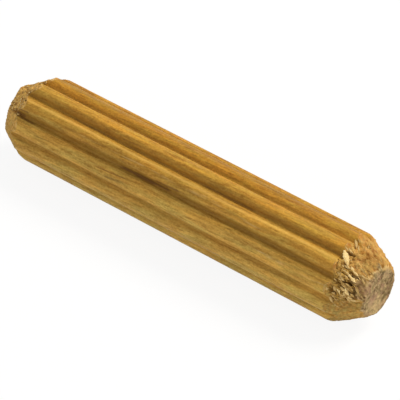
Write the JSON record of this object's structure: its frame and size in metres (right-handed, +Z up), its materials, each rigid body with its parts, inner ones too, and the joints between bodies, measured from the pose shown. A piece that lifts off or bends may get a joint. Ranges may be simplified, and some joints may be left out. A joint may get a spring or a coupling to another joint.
{
  "type": "dowel pin",
  "caption": "Fluted wood dowel pin with a cone at each end; the cone at one end is torn and splintered.",
  "frame": {"origin": "middle of the pin's axis, halfway between its end faces", "axes": "+X along the axis towards the torn end, +Z up as the pin lies on two lands, with a flute straight down"},
  "size_m": [0.0382, 0.0078, 0.0078],
  "materials": {
    "hardwood": "bare turned hardwood, satin where the flutes were pressed, rough where it tore"
  },
  "bodies": {
    "root": {"dowel_pin": "hardwood"}
  },
  "joints": []
}
